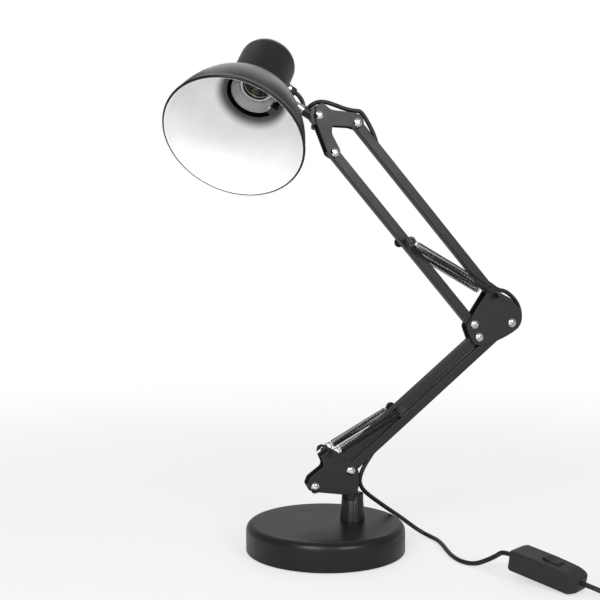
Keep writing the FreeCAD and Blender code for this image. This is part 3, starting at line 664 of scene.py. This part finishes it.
def coil_points():
    """The put-away coil's line, in on the table and out again on top of itself."""
    points = []
    inner, pitch, turns, lift = 0.0164, 0.0049, 4, 0.0049
    per_turn, count = 16, 132
    for i in range(count + 1):
        turn = i / per_turn
        a = 2 * math.pi * turn - math.pi / 2
        radius = inner + pitch * abs(turn - turns)
        step = min(max(turn - turns + 0.25, 0.0), 0.5) * 2 * math.pi
        rise = lift * (1 - math.cos(step)) / 2
        points.append(COIL_MIDDLE + Vector((radius * math.cos(a), radius * math.sin(a),
                                            CORD_REST + rise)))
    return points


class LAMP_OT_mains_lead(bpy.types.Operator):
    """Build the free mains lead, its switch, the put-away coil with its tie, and the plug."""

    bl_idname = "lamp.mains_lead"
    bl_label = "Mains lead"

    def execute(self, context):
        thick = context.scene.lamp_shape.cord
        lower = (HIP_PIVOT - ELBOW_LOWER).normalized()
        go = (SWITCH_FAR - SWITCH_NEAR).normalized()
        soft = context.scene.lamp_shape.edge
        straight = 0.012  # how far the cord keeps its way at the switch and the coil
        parts = [refined("switch_top", "base", "moulded plastic", soft * 4, 4),
                 refined("switch_bottom", "base", "moulded plastic", soft * 4, 4),
                 refined("switch_rocker", "switch_key", "moulded plastic", soft * 2, 3)]
        hip = metres([beside(HIP_PIVOT, lower, *p) for p in ((-66, 0), (-43, 0.3))]
                     + [(49.6, 0, 95.2), (41.6, 0, 83.6), (40.05, 0.1, 80.35)])
        obj = tube_of("cord_hip_piece", hip, thick, "lead cover")
        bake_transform(obj)
        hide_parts("cord_hip")
        line_of(hip)

        drop = metres([
            (40.05, 0.1, 80.35), (35.4, 0.4, 70.6), (38.8, 2.4, 59.8), (48.6, 4.8, 50.8),
            (60.2, 8.2, 42.2), (74.0, 12.6, 32.2), (88.0, 17.0, 22.4), (101.0, 20.6, 12.4),
            (110.5, 19.6, 5.6), (117.4, 11.0, 2.2), (119.8, -3.5, 2.2), (118.4, -20.0, 2.2),
            (114.4, -40.0, 2.2), (111.2, -61.0, 2.2), (112.6, -80.0, 2.2), (120.5, -92.5, 3.0),
            (129.5, -100.5, 8.6), (134.0, -110.5, 15.4)]) + [
                SWITCH_NEAR - go * straight, SWITCH_NEAR]
        obj = tube_of("cord_drop_piece", drop, thick, "lead cover")
        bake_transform(obj)
        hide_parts("cord_drop")
        line_of(drop)

        coil = coil_points()
        into = (coil[1] - coil[0]).normalized()
        onward = (coil[-1] - coil[-2]).normalized()
        lead_in = coil[0] - into * thick
        tail = [SWITCH_FAR, SWITCH_FAR + go * straight] + metres([
            (196.0, -208.0, 3.0), (210.0, -214.4, 2.2), (232.0, -214.0, 2.2)])
        tail += [lead_in - into * straight, lead_in] + coil + [coil[-1] + onward * thick]
        data = curve_of("cord_tail_piece", tail, thick, 8)
        obj = bpy.data.objects.new("cord_tail_piece", data)
        context.scene.collection.objects.link(obj)
        data.materials.append(bpy.data.materials["lead cover"])
        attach(obj, "base")
        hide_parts("cord_tail", "cord_coil")
        plug = refined("plug_body", "base", "moulded plastic", soft * 3, 3)
        pins = [refined(f"plug_pin_{side}", "base", "bright plating", soft)
                for side in ("left", "right")]
        sleeve, tie = self.sleeve(coil[-1] + onward * thick, onward), self.tie(coil)
        return {"FINISHED"}

    def sleeve(self, at, way):
        """The ribbed, tapered strain relief on the plug."""
        profile = [(0, 1.0), (2.6, 1.0)]
        ribs, apart, wider = 7, 3.4, 0.24
        for i in range(ribs):
            z, r = 2.0 + i * apart, 3.0 + i * wider
            profile += [(r - 0.5, z), (r - 0.5, z + 0.9), (r + 0.15, z + 1.2), (r + 0.2, z + 3.1)]
        profile += [(4.5, 26.5), (0, 26.5)]
        bm = lathe(profile, 40)
        return piece("plug_sleeve", to_mesh(bm, "plug_sleeve", aimed(at, way), 60), "base",
                     "moulded plastic")

    def tie(self, coil):
        """A soft band round the coil's turns."""
        bm = bmesh.new()
        outline, width = [], 6
        for x, z, a in ((36.2, 7.6, 0), (16.2, 7.6, 90), (16.2, 2.6, 180), (36.2, 2.6, 270)):
            outline += arc(x, z, 2.9 if z > 5 else 2.2, a, a + 90, 5)
        verts = [bm.verts.new((-width / 2 * MM, x * MM, z * MM)) for x, z in outline]
        edges = [bm.edges.new((p, q)) for p, q in zip(verts, verts[1:] + verts[:1])]
        grown = bmesh.ops.extrude_edge_only(bm, edges=edges)["geom"]
        bmesh.ops.translate(bm, vec=(width * MM, 0, 0),
                            verts=[v for v in grown if isinstance(v, bmesh.types.BMVert)])
        bmesh.ops.recalc_face_normals(bm, faces=bm.faces)
        mesh = to_mesh(bm, "coil_tie", Matrix.Translation(COIL_MIDDLE))
        obj = piece("coil_tie", mesh, "base", "pad rubber")
        wall = obj.modifiers.new("Wall", "SOLIDIFY")
        wall.thickness = 0.0006
        wall.offset = 0
        return obj


class LAMP_OT_stage(bpy.types.Operator):
    """Set the table top, the soft studio light and the camera."""

    bl_idname = "lamp.stage"
    bl_label = "Stage"

    def execute(self, context):
        scene = context.scene
        scene.view_settings.view_transform = "Standard"
        bm = bmesh.new()
        bmesh.ops.create_grid(bm, x_segments=1, y_segments=1, size=6.0)
        mesh = to_mesh(bm, "table_top", Matrix.Translation((0, 0, -0.0002)))
        floor = bpy.data.objects.new("table_top", mesh)
        scene.collection.objects.link(floor)
        mesh.materials.append(self.table_finish(scene.lamp_finish.floor))
        self.sky(scene)
        for name, place, size, power in (
            ("key light", (-1.2, -1.6, 1.3), 0.8, 24.0),
            ("shade light", (-0.75, -1.15, 0.12), 0.7, 3.0),
            ("fill light", (0.62, -2.2, 0.98), 0.8, 22.0),
            ("back light", (0.5, 1.4, 1.7), 1.4, 7.0),
        ):
            light = bpy.data.lights.new(name, "AREA")
            light.energy, light.size = power, size
            lamp = bpy.data.objects.new(name, light)
            scene.collection.objects.link(lamp)
            aim = LIGHTS_AIM - Vector(place)
            lamp.matrix_world = Matrix.Translation(place) @ aim.to_track_quat(
                "-Z", "Y").to_matrix().to_4x4()
        camera = bpy.data.cameras.new("camera")
        camera.sensor_fit, camera.sensor_width, camera.lens = "HORIZONTAL", 36.0, CAMERA_LENS
        viewer = bpy.data.objects.new("camera", camera)
        viewer.location = CAMERA_PLACE
        viewer.rotation_euler = (math.radians(90 - CAMERA_DOWN), 0, math.radians(CAMERA_TURN))
        scene.collection.objects.link(viewer)
        scene.camera = viewer
        return {"FINISHED"}

    def table_finish(self, tone):
        """A dull table top that fades to plain white with distance, for the camera alone."""
        material = bpy.data.materials.new("table top")
        material.use_nodes = True
        nodes, link = material.node_tree.nodes, material.node_tree.links.new
        nodes.clear()
        dull, glow = nodes.new("ShaderNodeBsdfDiffuse"), nodes.new("ShaderNodeEmission")
        dull.inputs["Color"].default_value = (*tone, 1)
        place, reach = nodes.new("ShaderNodeTexCoord"), nodes.new("ShaderNodeVectorMath")
        reach.operation = "LENGTH"
        link(place.outputs["Object"], reach.inputs[0])
        fade = nodes.new("ShaderNodeMapRange")
        fade.interpolation_type = "SMOOTHSTEP"
        for label, value in (("From Min", 0.25), ("From Max", 1.5), ("To Min", 0.62)):
            fade.inputs[label].default_value = value
        link(reach.outputs["Value"], fade.inputs["Value"])
        share, path = nodes.new("ShaderNodeMath"), nodes.new("ShaderNodeLightPath")
        share.operation = "MULTIPLY"
        link(path.outputs["Is Camera Ray"], share.inputs[0])
        link(fade.outputs["Result"], share.inputs[1])
        mix, out = nodes.new("ShaderNodeMixShader"), nodes.new("ShaderNodeOutputMaterial")
        link(share.outputs[0], mix.inputs["Fac"])
        link(dull.outputs[0], mix.inputs[1])
        link(glow.outputs[0], mix.inputs[2])
        link(mix.outputs[0], out.inputs["Surface"])
        return material

    def sky(self, scene):
        """A white background that lights the lamp less brightly than the camera sees it."""
        world = bpy.data.worlds.new("studio")
        scene.world = world
        world.use_nodes = True
        nodes, link = world.node_tree.nodes, world.node_tree.links.new
        back = nodes["Background"]
        back.inputs["Color"].default_value = (1, 1, 1, 1)
        strength = nodes.new("ShaderNodeMapRange")
        path = nodes.new("ShaderNodeLightPath")
        link(path.outputs["Is Camera Ray"], strength.inputs["Value"])
        strength.inputs["To Min"].default_value = 0.42
        strength.inputs["To Max"].default_value = 1.0
        link(strength.outputs["Result"], back.inputs["Strength"])


STEPS = [LAMP_OT_stage, LAMP_OT_mains_lead, LAMP_OT_held_cords, LAMP_OT_base,
         LAMP_OT_metalwork, LAMP_OT_shade, LAMP_OT_holder, LAMP_OT_springs]


class LAMP_PT_panel(bpy.types.Panel):
    """Sidebar list of the lamp's sizes, finishes and pieces."""

    bl_idname = "LAMP_PT_panel"
    bl_label = "Desk lamp"
    bl_space_type = "VIEW_3D"
    bl_region_type = "UI"
    bl_category = "Lamp"

    def draw(self, context):
        for group in (context.scene.lamp_shape, context.scene.lamp_finish):
            box = self.layout.box()
            for label in group.__annotations__:
                box.prop(group, label)
        for step in STEPS:
            self.layout.operator(step.bl_idname)


CLASSES = [LampShape, LampFinish, *STEPS, LAMP_PT_panel]


def register():
    """Adds the classes and the two groups of settings."""
    for kind in CLASSES:
        bpy.utils.register_class(kind)
    bpy.types.Scene.lamp_shape = PointerProperty(type=LampShape)
    bpy.types.Scene.lamp_finish = PointerProperty(type=LampFinish)


def unregister():
    """Takes the settings and the classes away again."""
    del bpy.types.Scene.lamp_finish
    del bpy.types.Scene.lamp_shape
    for kind in reversed(CLASSES):
        bpy.utils.unregister_class(kind)


def main():
    """Builds every piece."""
    register()
    make_finishes()
    for step in STEPS:
        group, action = step.bl_idname.split(".")
        getattr(getattr(bpy.ops, group), action)()


if __name__ == "__main__":
    main()
